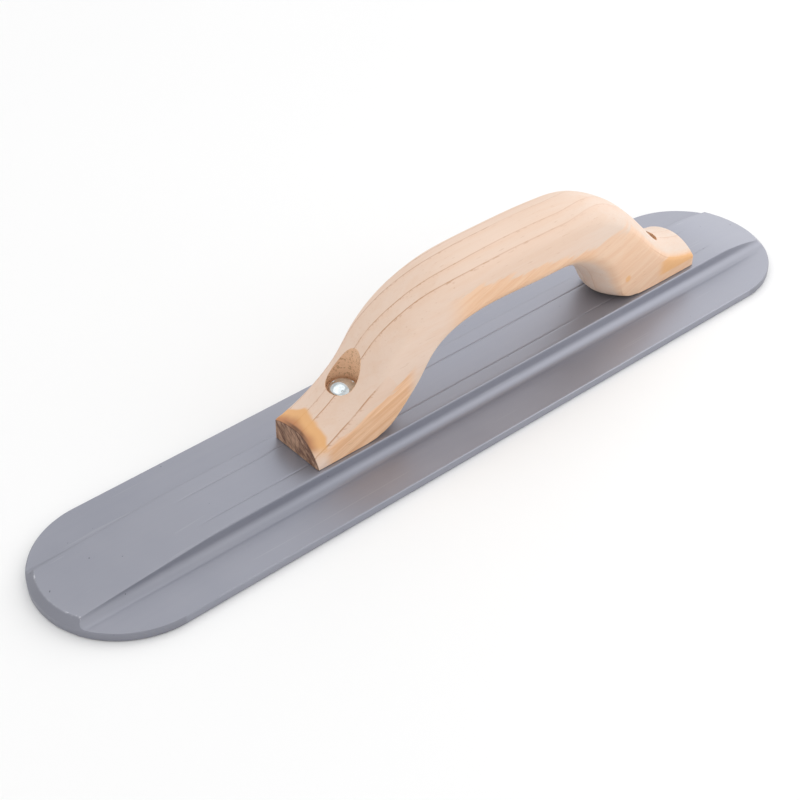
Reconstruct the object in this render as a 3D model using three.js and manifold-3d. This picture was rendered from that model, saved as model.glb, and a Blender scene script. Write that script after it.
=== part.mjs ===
// Round-ended hand float for finishing concrete: an extruded magnesium blade with a raised
// centre spine, a bow-shaped wooden handle, and the two dome-head machine screws that hold
// the handle on the spine.
// Millimetres, +Z up. The origin is the centre of the blade's flat working face.
// +X runs along the blade towards the end that the handle sits nearer to.
import * as THREE from "three";
import { mergeVertices } from "three/addons/utils/BufferGeometryUtils.js";
import { ParametricGeometry } from "three/addons/geometries/ParametricGeometry.js";
import Module from "manifold-3d";

const wasm = await Module();
wasm.setup();

// ---- driving dimensions ----
const BLADE_LENGTH = 406.4; // 16 in
const BLADE_WIDTH = 79.375; // 3 1/8 in
const END_RADIUS = BLADE_WIDTH / 2; // each end is a half circle
const ARC_CENTRE_X = BLADE_LENGTH / 2 - END_RADIUS;
const WING_THICKNESS = 4.0; // the thin wings on both sides of the spine
const EDGE_BREAK = 0.35; // small bevel on every rim edge
const SPINE_TOP_Z = 11.2;
const SPINE_EDGE_BREAK = 0.3;
const SPINE_HALF_WIDTH = 16.0; // half of the spine's flat top
const SPINE_ROOT_HALF_WIDTH = 20.8; // where the concave fillet runs out on the wing
const SPINE_SIDE_LEAN = 0.6; // the spine's sides spread by this much down to the fillet
const FILLET_HEIGHT = 4.4;
const WELD = 0.05; // keeps the fillet's run-out just off the wing's own line
const GROOVE_Y = 8.4; // two shallow lines scored along the spine's top
const GROOVE_HALF_WIDTH = 0.45;
const GROOVE_DEPTH = 0.3;
const BEAD_Y = 21.6; // a low bead along the foot of each fillet
const BEAD_HALF_WIDTH = 0.8;
const BEAD_HEIGHT = 0.3;
const BEVEL_INSET = 3.6; // the ends of the spine lean back from the rim by this much
const BEVEL_TOP_Z = 7.2; // at this height, where the milled ends of the spine stop
const CUTTER_TOP_Z = 20; // above everything on the blade
const END_SEGMENTS = 72;
const FILLET_STEPS = 6;

// The spine is milled down towards both tips: by a straight slope at the near end, and by a
// round roll-off at the far end.
const NEAR_SLOPE_X = -130;
const NEAR_SLOPE = 0.063; // drop for each millimetre of length
const FAR_ROLL_X = 162;
const FAR_ROLL_RADIUS = 137;
const FAR_ROLL_STEPS = 8;
const CUTTER_OVERRUN = 2; // the milling cuts run past the metal by this much

const HANDLE_HALF_WIDTH = 14.3; // 1 1/8 in stock
const HANDLE_BASE_Z = SPINE_TOP_Z + 0.3; // the feet stand on the spine's flat top
const SCREW_X = [-53.8, 127.4];
const BORE_FLOOR_Z = [32.5, 24.5]; // floor of each counterbore
const SCREW_LENGTH = [25.4, 19.05]; // 1 in and 3/4 in under the head
const COUNTERBORE_RADIUS = 7.3;
const BORE_TOP_Z = 90; // above the whole handle
const SCREW_SHANK_RADIUS = 3.175; // 1/4 in
const CLEARANCE = 0.3;
const SCREW_HEAD_RADIUS = 6.15;
const SCREW_HEAD_RIM = 0.9; // height of the head's straight edge
const SCREW_HEAD_HEIGHT = 3.5;
const DIMPLE_COUNT = 3; // small dimples spaced round the dome
const DIMPLE_RADIUS = 0.6;
const DIMPLE_RING_RADIUS = 4.6;
const DIMPLE_TURN = THREE.MathUtils.degToRad(-131); // where the first one lies, from +X
const DIMPLE_SIDES = 12;
const DIMPLE_ROWS = 8;
const TIP_BREAK = 0.8; // small bevel round the end of each shank
const DOME_STEPS = 6;
const TAPPED_HOLE_FLOOR_Z = 4.6; // blind holes in the spine
const DRILL_POINT = 1; // depth of the cone that the drill leaves
const HOLE_SEGMENTS = 36;

// The handle's side view, from the near foot to the far foot, as two centre lines: the top and
// the underside. The last two numbers say how deep the edges are rounded, measured square to
// the surface. The underside of both feet lies flat on the spine.
const BASE = HANDLE_BASE_Z;
const HANDLE_SECTIONS = [
  // top x, top z, under x, under z, top round, under round
  [-79, 23.8, -79, BASE, 11.5, 0],
  [-66, 31.2, -66, BASE, 11, 0],
  [-54, 40.8, -53, BASE, 10.5, 0],
  [-43, 53.5, -42, BASE, 9.5, 2],
  [-30, 63.2, -32, 15, 8.5, 5.5],
  [-14, 70.6, -20.5, 26, 9, 6.5],
  [4, 74.2, -8, 39, 9, 8.5],
  [32, 74.8, 14, 43.8, 9, 10],
  [60, 74.2, 48, 42.6, 9, 10.5],
  [82, 71, 70, 41, 8.5, 11],
  [100, 61.4, 85, 30.5, 8.5, 11.5],
  [114, 49, 94.5, 15.5, 8.5, 9.5],
  [125, 37.3, 105, BASE, 8, 2.5],
  [136, 27.8, 122, BASE, 7.5, 0],
  [150.4, 23.2, 150.4, BASE, 7, 0],
];
const END_FADE = 13; // the edge rounding turns upright over this length at both sawn ends
const CREASE_Z = 15; // below this height the top meets the side in a crease
const SOFT_Z = 55; // above this height the edges are fully soft
const SOFTNESS = 0.8; // 1 would be a full half round
const CREASE_SOFTNESS = 0.1;
const ROLL_RISE = 2.2; // the far side's top edge sits this much higher than the near side's
const END_ROLL_RISE = 8.5; // and this much at the near foot's sawn end
const END_ROLL_LENGTH = 32;
const STEPS_PER_SECTION = 4;
const ROUND_STEPS = 7; // facets from the centre line to the side face
const SAME_POINT = 1e-4; // vertices closer than this are one

// ---- helpers ----
function solidOf(geometry, matrix = new THREE.Matrix4()) {
  const g = (geometry.index ? geometry.toNonIndexed() : geometry.clone()).applyMatrix4(matrix);
  g.deleteAttribute("normal");
  g.deleteAttribute("uv");
  const merged = mergeVertices(g, SAME_POINT);
  const index = merged.index.array;
  const kept = [];
  for (let i = 0; i < index.length; i += 3) {
    const [a, b, c] = [index[i], index[i + 1], index[i + 2]];
    if (a !== b && b !== c && a !== c) kept.push(a, b, c);
  }
  return new wasm.Manifold(
    new wasm.Mesh({
      numProp: 3,
      vertProperties: merged.attributes.position.array,
      triVerts: new Uint32Array(kept),
    }),
  );
}

function geometryOf(solid) {
  const mesh = solid.getMesh();
  const g = new THREE.BufferGeometry();
  g.setAttribute("position", new THREE.BufferAttribute(mesh.vertProperties, 3));
  g.setIndex(new THREE.BufferAttribute(mesh.triVerts, 1));
  g.computeVertexNormals();
  return g;
}

function shapeOf(points) {
  return new THREE.Shape(points.map(([x, y]) => new THREE.Vector2(x, y)));
}

// A shape drawn in y, z and extruded along X, centred on x = 0.
function alongX(points, length) {
  const g = new THREE.ExtrudeGeometry(shapeOf(points), { depth: length, bevelEnabled: false });
  g.translate(0, 0, -length / 2);
  const turn = new THREE.Matrix4().makeBasis(
    new THREE.Vector3(0, 1, 0), new THREE.Vector3(0, 0, 1), new THREE.Vector3(1, 0, 0),
  );
  return solidOf(g, turn);
}

// A shape drawn in x, z and extruded along Y, centred on y = 0.
function alongY(points, length) {
  const g = new THREE.ExtrudeGeometry(shapeOf(points), { depth: length, bevelEnabled: false });
  g.translate(0, 0, -length / 2);
  return solidOf(g, new THREE.Matrix4().makeRotationX(Math.PI / 2));
}

// A profile of [radius, z] turned about a vertical axis at x.
function turned(profile, x, segments) {
  const g = new THREE.LatheGeometry(profile.map(([r, z]) => new THREE.Vector2(r, z)), segments);
  g.rotateX(Math.PI / 2);
  g.translate(x, 0, 0);
  return solidOf(g);
}

function named(name, solid, material) {
  const mesh = new THREE.Mesh(geometryOf(solid), material);
  mesh.name = name;
  return mesh;
}

// ---- blade ----
function spineSection() {
  const half = [];
  const rim = BLADE_WIDTH; // trimmed to the true rim by the outline
  half.push([rim, 0], [rim, WING_THICKNESS]);
  half.push([BEAD_Y + BEAD_HALF_WIDTH, WING_THICKNESS], [BEAD_Y, WING_THICKNESS + BEAD_HEIGHT]);
  half.push([SPINE_ROOT_HALF_WIDTH, WING_THICKNESS + WELD]);
  // concave fillet from the wing up to the steep side of the spine
  const filletWidth = SPINE_ROOT_HALF_WIDTH - SPINE_HALF_WIDTH - SPINE_SIDE_LEAN;
  for (let i = 1; i <= FILLET_STEPS; i++) {
    const a = (i / FILLET_STEPS) * (Math.PI / 2);
    half.push([
      SPINE_ROOT_HALF_WIDTH - filletWidth * Math.sin(a),
      WING_THICKNESS + WELD + FILLET_HEIGHT * (1 - Math.cos(a)),
    ]);
  }
  half.push([SPINE_HALF_WIDTH + SPINE_EDGE_BREAK, SPINE_TOP_Z - SPINE_EDGE_BREAK]);
  half.push([SPINE_HALF_WIDTH, SPINE_TOP_Z]);
  half.push([GROOVE_Y + GROOVE_HALF_WIDTH, SPINE_TOP_Z], [GROOVE_Y, SPINE_TOP_Z - GROOVE_DEPTH]);
  half.push([GROOVE_Y - GROOVE_HALF_WIDTH, SPINE_TOP_Z]);
  const mirrored = half.map(([y, z]) => [-y, z]).reverse();
  return [...half, ...mirrored];
}

// The blade seen from above, as a solid: straight sides, half-round ends, and bevelled above
// the wings so that the spine's ends lean back.
function outlineSolid() {
  const slope = BEVEL_INSET / (BEVEL_TOP_Z - WING_THICKNESS + EDGE_BREAK);
  const bevelEnd = END_RADIUS - slope * (CUTTER_TOP_Z - WING_THICKNESS + EDGE_BREAK);
  const rim = [
    [END_RADIUS - EDGE_BREAK, 0], [END_RADIUS, EDGE_BREAK],
    [END_RADIUS, WING_THICKNESS - EDGE_BREAK], [bevelEnd, CUTTER_TOP_Z],
  ];
  const profile = [[0, 0], ...rim, [0, CUTTER_TOP_Z]];
  const bar = [...rim, ...rim.map(([y, z]) => [-y, z]).reverse()];
  return alongX(bar, 2 * ARC_CENTRE_X)
    .add(turned(profile, -ARC_CENTRE_X, END_SEGMENTS))
    .add(turned(profile, ARC_CENTRE_X, END_SEGMENTS));
}

// Removes what lies above a line of [x, z], over the whole width.
function millingCut(line) {
  const [first, last] = [line[0], line.at(-1)];
  const width = BLADE_WIDTH + 2 * CUTTER_OVERRUN;
  return alongY([...line, [last[0], CUTTER_TOP_Z], [first[0], CUTTER_TOP_Z]], width);
}

function nearSlopeCut() {
  const start = NEAR_SLOPE_X + CUTTER_OVERRUN;
  const end = -BLADE_LENGTH / 2 - CUTTER_OVERRUN;
  return millingCut([start, end].map((x) => [x, SPINE_TOP_Z + NEAR_SLOPE * (x - NEAR_SLOPE_X)]));
}

function farRollCut() {
  const reach = BLADE_LENGTH / 2 + CUTTER_OVERRUN - FAR_ROLL_X;
  const line = [];
  for (let k = 0; k <= FAR_ROLL_STEPS; k++) {
    const run = (k / FAR_ROLL_STEPS) * reach;
    const drop = FAR_ROLL_RADIUS - Math.sqrt(FAR_ROLL_RADIUS ** 2 - run ** 2);
    line.push([FAR_ROLL_X + run, SPINE_TOP_Z - drop]);
  }
  return millingCut(line);
}

function blade() {
  let solid = alongX(spineSection(), 2 * BLADE_LENGTH).intersect(outlineSolid());
  solid = solid.subtract(nearSlopeCut()).subtract(farRollCut());
  for (const x of SCREW_X) {
    const r = SCREW_SHANK_RADIUS + CLEARANCE;
    const point = [0, TAPPED_HOLE_FLOOR_Z - DRILL_POINT];
    const hole = [point, [r, TAPPED_HOLE_FLOOR_Z], [r, CUTTER_TOP_Z], [0, CUTTER_TOP_Z]];
    solid = solid.subtract(turned(hole, x, HOLE_SEGMENTS));
  }
  return solid;
}

// ---- handle ----
function sectionCurves() {
  const column = (a, b) =>
    new THREE.SplineCurve(HANDLE_SECTIONS.map((row) => new THREE.Vector2(row[a], row[b])));
  return { top: column(0, 1), under: column(2, 3), topRound: column(0, 4), underRound: column(2, 5) };
}

// The edge of the rounding: the centre line moved into the wood, square to its own run.
function roundedEdge(centre, tangent, depth, inward) {
  const toNearEnd = (centre.x - HANDLE_SECTIONS[0][0]) / END_FADE;
  const toFarEnd = (HANDLE_SECTIONS.at(-1)[0] - centre.x) / END_FADE;
  const tilt = THREE.MathUtils.clamp(Math.min(toNearEnd, toFarEnd), 0, 1);
  const square = new THREE.Vector2(-tangent.y * tilt, tangent.x).normalize();
  return centre.clone().addScaledVector(square, inward * depth);
}

// Points round one section, from the centre of the top over the near side (y < 0), along the
// underside and back over the far side.
function sectionPoint(curves, t, around) {
  const steps = ROUND_STEPS;
  const count = 4 * steps + 2;
  let k = Math.round(around * count) % count;
  const far = k > 2 * steps ? 1 : -1;
  if (far > 0) k = count - k;
  const upper = k <= steps;
  const angle = ((upper ? k : 2 * steps + 1 - k) / steps) * (Math.PI / 2);
  const y = Math.sin(angle);
  const line = upper ? curves.top : curves.under;
  const depth = (upper ? curves.topRound : curves.underRound).getPoint(t).y;
  const centre = line.getPoint(t);
  const edge = roundedEdge(centre, line.getTangent(t), depth, upper ? -1 : 1);
  const fromEnd = THREE.MathUtils.clamp((centre.x - HANDLE_SECTIONS[0][0]) / END_ROLL_LENGTH, 0, 1);
  if (upper && far > 0) edge.y += THREE.MathUtils.lerp(END_ROLL_RISE, ROLL_RISE, fromEnd);
  const height = THREE.MathUtils.clamp((centre.y - CREASE_Z) / (SOFT_Z - CREASE_Z), 0, 1);
  const topSoftness = THREE.MathUtils.lerp(CREASE_SOFTNESS, SOFTNESS, height);
  const softness = upper ? topSoftness : SOFTNESS;
  const drop = softness * (1 - Math.cos(angle)) + (1 - softness) * y * y;
  const x = centre.x + (edge.x - centre.x) * drop;
  const z = centre.y + (edge.y - centre.y) * drop;
  return [x, far * HANDLE_HALF_WIDTH * y, Math.max(z, HANDLE_BASE_Z)];
}

function handleBody() {
  const curves = sectionCurves();
  const stations = (HANDLE_SECTIONS.length - 1) * STEPS_PER_SECTION;
  const around = 4 * ROUND_STEPS + 2;
  // One more step at each end closes the flat end faces on their centre.
  const surface = (u, v, target) => {
    const step = Math.round(v * (stations + 2)) - 1;
    const t = Math.min(Math.max(step / stations, 0), 1);
    if (step < 0 || step > stations) {
      const top = curves.top.getPoint(t);
      target.set(top.x, 0, 0.5 * (top.y + HANDLE_BASE_Z));
    } else {
      target.set(...sectionPoint(curves, t, u));
    }
  };
  return solidOf(new ParametricGeometry(surface, around, stations + 2));
}

function handle() {
  let solid = handleBody();
  SCREW_X.forEach((x, i) => {
    const floor = BORE_FLOOR_Z[i];
    const r = SCREW_SHANK_RADIUS + CLEARANCE;
    const wide = COUNTERBORE_RADIUS;
    const bore = [[0, 0], [r, 0], [r, floor], [wide, floor], [wide, BORE_TOP_Z], [0, BORE_TOP_Z]];
    solid = solid.subtract(turned(bore, x, HOLE_SEGMENTS));
  });
  return solid;
}

// ---- screws ----
function domeHeadScrew(i) {
  const x = SCREW_X[i];
  const seat = BORE_FLOOR_Z[i] + CLEARANCE;
  const tip = seat - SCREW_LENGTH[i];
  const r = SCREW_SHANK_RADIUS;
  const shank = [[0, tip], [r - TIP_BREAK, tip], [r, tip + TIP_BREAK], [r, seat]];
  const profile = [...shank, [SCREW_HEAD_RADIUS, seat]];
  // the dome is a slice of a sphere whose centre lies below the head
  const rise = SCREW_HEAD_HEIGHT - SCREW_HEAD_RIM;
  const sphere = (SCREW_HEAD_RADIUS ** 2 + rise ** 2) / (2 * rise);
  const sphereZ = seat + SCREW_HEAD_HEIGHT - sphere;
  for (let k = 0; k < DOME_STEPS; k++) {
    const radius = SCREW_HEAD_RADIUS * (1 - k / DOME_STEPS);
    profile.push([radius, sphereZ + Math.sqrt(sphere ** 2 - radius ** 2)]);
  }
  profile.push([0, sphereZ + sphere]);
  let solid = turned(profile, x, HOLE_SEGMENTS);
  const dimpleZ = sphereZ + Math.sqrt(sphere ** 2 - DIMPLE_RING_RADIUS ** 2);
  for (let k = 0; k < DIMPLE_COUNT; k++) {
    const angle = DIMPLE_TURN + (k / DIMPLE_COUNT) * 2 * Math.PI;
    const dimple = new THREE.SphereGeometry(DIMPLE_RADIUS, DIMPLE_SIDES, DIMPLE_ROWS);
    dimple.translate(
      x + DIMPLE_RING_RADIUS * Math.cos(angle), DIMPLE_RING_RADIUS * Math.sin(angle), dimpleZ,
    );
    solid = solid.subtract(solidOf(dimple));
  }
  return solid;
}

// ---- materials and assembly ----
const magnesium = new THREE.MeshStandardMaterial({
  color: 0xa7a7b0, roughness: 0.38, metalness: 0.9,
});
const pine = new THREE.MeshStandardMaterial({ color: 0xecd2b4, roughness: 0.55, metalness: 0.0 });
const zincSteel = new THREE.MeshStandardMaterial({
  color: 0xd4d8d8, roughness: 0.16, metalness: 1.0,
});

const float = new THREE.Group();
float.add(named("blade", blade(), magnesium));
float.add(named("handle", handle(), pine));
float.add(named("screw_near", domeHeadScrew(0), zincSteel));
float.add(named("screw_far", domeHeadScrew(1), zincSteel));

export default float;
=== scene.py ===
"""Round-ended hand float for concrete: an extruded magnesium blade, a bow-shaped pine handle
and two dome-headed screws. Metres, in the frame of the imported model: the origin is the centre
of the blade's working face, +X along the blade, +Z up."""
import math
import random

import bmesh
import bpy
from mathutils import Matrix, Vector


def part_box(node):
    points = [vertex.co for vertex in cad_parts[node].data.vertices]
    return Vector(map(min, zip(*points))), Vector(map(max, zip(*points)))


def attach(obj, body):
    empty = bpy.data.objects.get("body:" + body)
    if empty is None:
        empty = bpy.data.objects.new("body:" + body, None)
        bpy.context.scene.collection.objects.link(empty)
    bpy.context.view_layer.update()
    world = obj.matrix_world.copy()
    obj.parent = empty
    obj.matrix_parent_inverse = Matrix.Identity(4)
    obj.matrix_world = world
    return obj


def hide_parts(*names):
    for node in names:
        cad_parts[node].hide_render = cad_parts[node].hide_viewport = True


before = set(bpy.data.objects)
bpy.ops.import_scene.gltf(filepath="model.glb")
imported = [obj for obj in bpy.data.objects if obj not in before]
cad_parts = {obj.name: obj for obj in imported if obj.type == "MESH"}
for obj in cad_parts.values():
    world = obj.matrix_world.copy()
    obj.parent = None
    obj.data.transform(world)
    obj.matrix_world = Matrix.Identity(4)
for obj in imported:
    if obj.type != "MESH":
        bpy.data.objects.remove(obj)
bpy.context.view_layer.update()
MM = 0.001

# ---- dimensions, from the frame where it has them ----
BLADE_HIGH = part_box("blade")[1]
HANDLE_LOW, HANDLE_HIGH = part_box("handle")
END_RADIUS = BLADE_HIGH.y
ARC_CENTRE_X = BLADE_HIGH.x - END_RADIUS
WING_Z = 4.0 * MM
SPINE_TOP_Z = BLADE_HIGH.z
SPINE_HALF = 16.0 * MM
SPINE_ROOT = 20.8 * MM
SPINE_LEAN = 0.6 * MM
FILLET_HEIGHT = 4.4 * MM
BEAD_Y = 21.6 * MM
GROOVE_Y = 8.4 * MM
RIM_BREAK = 0.35 * MM
BEVEL_INSET = 3.6 * MM
BEVEL_TOP_Z = 7.2 * MM
BEVEL_SLOPE = (BEVEL_TOP_Z - WING_Z + RIM_BREAK) / BEVEL_INSET
GROOVE_HALF = 0.45 * MM
GROOVE_DEPTH = 0.3 * MM
# the faint bead beside each fillet: distance out from BEAD_Y and rise, in millimetres
BEAD = ((-0.5, 0.0), (0, 0.012), (0.5, 0.018), (1.0, 0.010), (1.6, 0.0))
# how far across the wing its columns lie, closer together at the edge to keep the ends round
WING_SHARES = (0.12, 0.3, 0.46, 0.6, 0.72, 0.82, 0.9, 0.96)
BODY_END = 150 * MM  # the rows are straight across up to here, and follow the round end beyond
BODY_STEP = 12.5 * MM
SLOPE_ROWS = (-137, -133.5, -130, -126.5, -123)  # extra rows where the near slope begins, in millimetres
END_ROWS, LAST_SHARE = 26, 0.985  # rows from there to the tip, and one more close to the edge
EDGE_GAP = 0.3 * MM  # how far short of the end's edge the last row stops
CORNER_REACH = 6 * MM  # where the wing's edge column ends, past the start of the round end
CHIP_CHANCE, CHIP_SIZE = 0.10, 0.14 * MM
SOLE_SHARE_X, SOLE_SHARE_Y = 0.992, 0.96  # the working face's grid, as a share of the top grid
WORN_AND_HIGHLIGHT_CORNER = 3.5 * MM  # how near a spine corner the end's edge is painted bright, partly as wear and partly as a painted highlight

# The spine is milled down towards both tips: by a straight slope at the near end, and by a
# round roll-off at the far end.
NEAR_SLOPE_X, NEAR_SLOPE = -130 * MM, 0.063
NEAR_SLOPE_BLEND = 7 * MM
FAR_ROLL_X, FAR_ROLL_RADIUS = 162 * MM, 137 * MM

# The handle's side view in millimetres: top x, top z, under x, under z, and how deep the
# top and the under edges are rounded, square to the surface.
BASE = HANDLE_LOW.z / MM
HANDLE_SECTIONS = [
    (-79, 23.8, -79, BASE, 11.5, 0),
    (-66, 31.2, -66, BASE, 11, 0),
    (-54, 40.8, -53, BASE, 10.5, 0),
    (-43, 53.5, -42, BASE, 9.5, 2),
    (-30, 63.2, -32, 15, 8.5, 5.5),
    (-14, 70.6, -20.5, 26, 9, 6.5),
    (4, 74.2, -8, 39, 9, 8.5),
    (32, 74.8, 14, 43.8, 9, 10),
    (60, 74.2, 48, 42.6, 9, 10.5),
    (82, 71, 70, 41, 8.5, 11),
    (100, 61.4, 85, 30.5, 8.5, 11.5),
    (114, 49, 94.5, 15.5, 8.5, 9.5),
    (125, 37.3, 105, BASE, 8, 2.5),
    (136, 27.8, 122, BASE, 7.5, 0),
    (150.4, 23.2, 150.4, BASE, 7, 0),
]
HANDLE_HALF = HANDLE_HIGH.y / MM
END_FADE = 13
CREASE_Z, SOFT_Z = 15, 55
CREASE_SOFTNESS, SOFTNESS = 0.1, 0.8
ROLL_RISE, END_ROLL_RISE, END_ROLL_LENGTH = 2.2, 8.5, 32
STEPS_PER_SECTION = 8
ROUND_STEPS = 14
END_SOFTENING = 0.5  # how far the sawn ends' edges are eased, in millimetres
SOLE_SOFTENING = 0.15  # the share of that which the ends' bottom edges get

HEAD_HEIGHT, HEAD_RIM, CLEARANCE = 3.5 * MM, 0.9 * MM, 0.3 * MM
SCREWS = {name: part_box(name)[1].z - HEAD_HEIGHT - CLEARANCE  # floor of each counterbore
          for name in ("screw_near", "screw_far")}
COUNTERBORE_RADIUS = 7.3 * MM
SHANK_HOLE_RADIUS = 3.475 * MM
BELOW_HANDLE, ABOVE_HANDLE = 5 * MM, 90 * MM  # heights outside the handle, where cutters end
HOLE_SIDES = 96
SMOOTHED_FROM, SMOOTHED_TO = -77 * MM, 149 * MM  # smoothed only between these, inside the ends
SAME_POINT = 0.004 * MM


# ---- mesh helpers ----
def lerp(a, b, t):
    return a + (b - a) * t


def clamp(x, low=0.0, high=1.0):
    return max(low, min(high, x))


def catmull(points, t):
    """Uniform Catmull-Rom curve through the points, t from 0 to 1."""
    last = len(points) - 1
    at = t * last
    i = min(int(at), last - 1)
    w = at - i
    p0, p1 = points[max(i - 1, 0)], points[i]
    p2, p3 = points[i + 1], points[min(i + 2, last)]
    if i == 0:
        p0 = p1
    if i + 2 > last:
        p3 = p2
    out = []
    for a, b, c, d in zip(p0, p1, p2, p3):
        v0, v1 = (c - a) / 2, (d - b) / 2
        out.append((2 * b - 2 * c + v0 + v1) * w ** 3 + (-3 * b + 3 * c - 2 * v0 - v1) * w * w + v0 * w + b)
    return out


def mesh_object(name, vertices, faces):
    mesh = bpy.data.meshes.new(name)
    mesh.from_pydata(vertices, [], faces)
    mesh.validate()
    made = bpy.data.objects.new(name, mesh)
    bpy.context.scene.collection.objects.link(made)
    return made


def shade(obj, angle_degrees):
    """Smooth shading that keeps edges sharper than the angle."""
    for polygon in obj.data.polygons:
        polygon.use_smooth = True
    obj.data.set_sharp_from_angle(angle=math.radians(angle_degrees))


def apply_modifiers(obj):
    depsgraph = bpy.context.evaluated_depsgraph_get()
    mesh = bpy.data.meshes.new_from_object(obj.evaluated_get(depsgraph))
    obj.modifiers.clear()
    obj.data = mesh


def subtract(obj, cutter):
    """Cut one object out of another, and remove the cutter."""
    modifier = obj.modifiers.new("Cut", "BOOLEAN")
    modifier.object = cutter
    modifier.solver = "EXACT"
    apply_modifiers(obj)
    bpy.data.objects.remove(cutter)


def drop_slivers(obj):
    """Merge the near-coincident points that a cut leaves, with the faces of no area."""
    mesh = bmesh.new()
    mesh.from_mesh(obj.data)
    bmesh.ops.remove_doubles(mesh, verts=mesh.verts, dist=SAME_POINT)
    bmesh.ops.dissolve_degenerate(mesh, edges=mesh.edges, dist=SAME_POINT)
    mesh.to_mesh(obj.data)
    mesh.free()


# ---- blade ----
def spine_height(x):
    """The height the spine is milled to at x."""
    if x > FAR_ROLL_X:
        run = x - FAR_ROLL_X
        return SPINE_TOP_Z - FAR_ROLL_RADIUS + math.sqrt(FAR_ROLL_RADIUS ** 2 - run ** 2)
    past = NEAR_SLOPE_X - x
    if past <= -NEAR_SLOPE_BLEND:
        return SPINE_TOP_Z
    if past < NEAR_SLOPE_BLEND:
        return SPINE_TOP_Z - NEAR_SLOPE * (past + NEAR_SLOPE_BLEND) ** 2 / (4 * NEAR_SLOPE_BLEND)
    return SPINE_TOP_Z - NEAR_SLOPE * past


def section_points():
    """Half of the blade's cross-section from the centre to the wing's edge, as y, z, with
    closely spaced points beside each edge so that subdivision rounds it only a little."""
    near = 0.12 * MM
    points = [(0, SPINE_TOP_Z), (GROOVE_Y * 0.5, SPINE_TOP_Z)]
    points += [(GROOVE_Y - GROOVE_HALF - near, SPINE_TOP_Z), (GROOVE_Y - GROOVE_HALF, SPINE_TOP_Z)]
    points += [(GROOVE_Y, SPINE_TOP_Z - GROOVE_DEPTH)]
    points += [(GROOVE_Y + GROOVE_HALF, SPINE_TOP_Z), (GROOVE_Y + GROOVE_HALF + near, SPINE_TOP_Z)]
    points += [(lerp(GROOVE_Y, SPINE_HALF, 0.55), SPINE_TOP_Z)]
    points += [(SPINE_HALF - 0.4 * MM, SPINE_TOP_Z), (SPINE_HALF, SPINE_TOP_Z - 0.02 * MM)]
    side = SPINE_HALF + SPINE_LEAN
    fillet_top = WING_Z + FILLET_HEIGHT
    points += [(SPINE_HALF + 0.3 * MM, SPINE_TOP_Z - 0.4 * MM)]
    points += [(lerp(SPINE_HALF + 0.3 * MM, side, 0.5), lerp(SPINE_TOP_Z, fillet_top, 0.6))]
    for i in range(7):
        a = (1 - i / 6) * math.pi / 2
        y = SPINE_ROOT - (SPINE_ROOT - side) * math.sin(a)
        points.append((y, WING_Z + FILLET_HEIGHT * (1 - math.cos(a))))
    for y, rise in BEAD:
        points.append((BEAD_Y + y * MM, WING_Z + rise * MM))
    edge = END_RADIUS - 0.8 * MM
    points += [(lerp(BEAD_Y, edge, t), WING_Z) for t in WING_SHARES]
    points.append((edge, WING_Z))
    return points


def bevel_height(radius):
    """Height of the leaning end face at a distance from the end's arc centre."""
    return WING_Z - RIM_BREAK + BEVEL_SLOPE * (END_RADIUS - radius)


def profile_reach(z, section):
    """How far out the spine's side is at height z."""
    side = [p for p in section if SPINE_HALF <= p[0] <= SPINE_ROOT]
    for (y0, z0), (y1, z1) in zip(side, side[1:]):
        if z1 <= z <= z0:
            return lerp(y0, y1, (z0 - z) / max(z0 - z1, 1e-9))
    return SPINE_HALF


def cut_point(j, x, section):
    """Column j of the cross-section at x, with the milled taper taken off its top."""
    y, z = section[j]
    h = spine_height(x)
    if h >= SPINE_TOP_Z:
        return y, z
    if SPINE_HALF - 0.5 * MM < y < SPINE_HALF + 1e-6 or SPINE_HALF < y < SPINE_ROOT - 1e-6:
        share = (z - WING_Z) / (SPINE_TOP_Z - WING_Z)
        z = WING_Z + share * (h - WING_Z)
        reach = profile_reach(z, section)
        if y < SPINE_HALF + 1e-6:
            y = profile_reach(h, section) - (SPINE_HALF - y)
        else:
            y = reach
        return y, z
    return y, min(z, h)


def signed(column):
    """A column's index, from -last to last, as an index into the section and a side."""
    return abs(column), (1 if column >= 0 else -1)


def crease_x(j, side, section):
    """Where column j meets the leaning end face, as a distance from the blade's centre."""
    low, high = ARC_CENTRE_X, BLADE_HIGH.x
    for _ in range(40):
        x = (low + high) / 2
        y, z = cut_point(j, side * x, section)
        radius = math.hypot(x - ARC_CENTRE_X, y)
        if z > bevel_height(radius):
            high = x
        else:
            low = x
    return low


def rim_direction(x, y):
    """Straight out from the outline: radial at the round ends and sideways between them."""
    if abs(x) <= ARC_CENTRE_X:
        return Vector((0, math.copysign(1, y), 0))
    return Vector((x - math.copysign(ARC_CENTRE_X, x), y, 0)).normalized()


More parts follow.
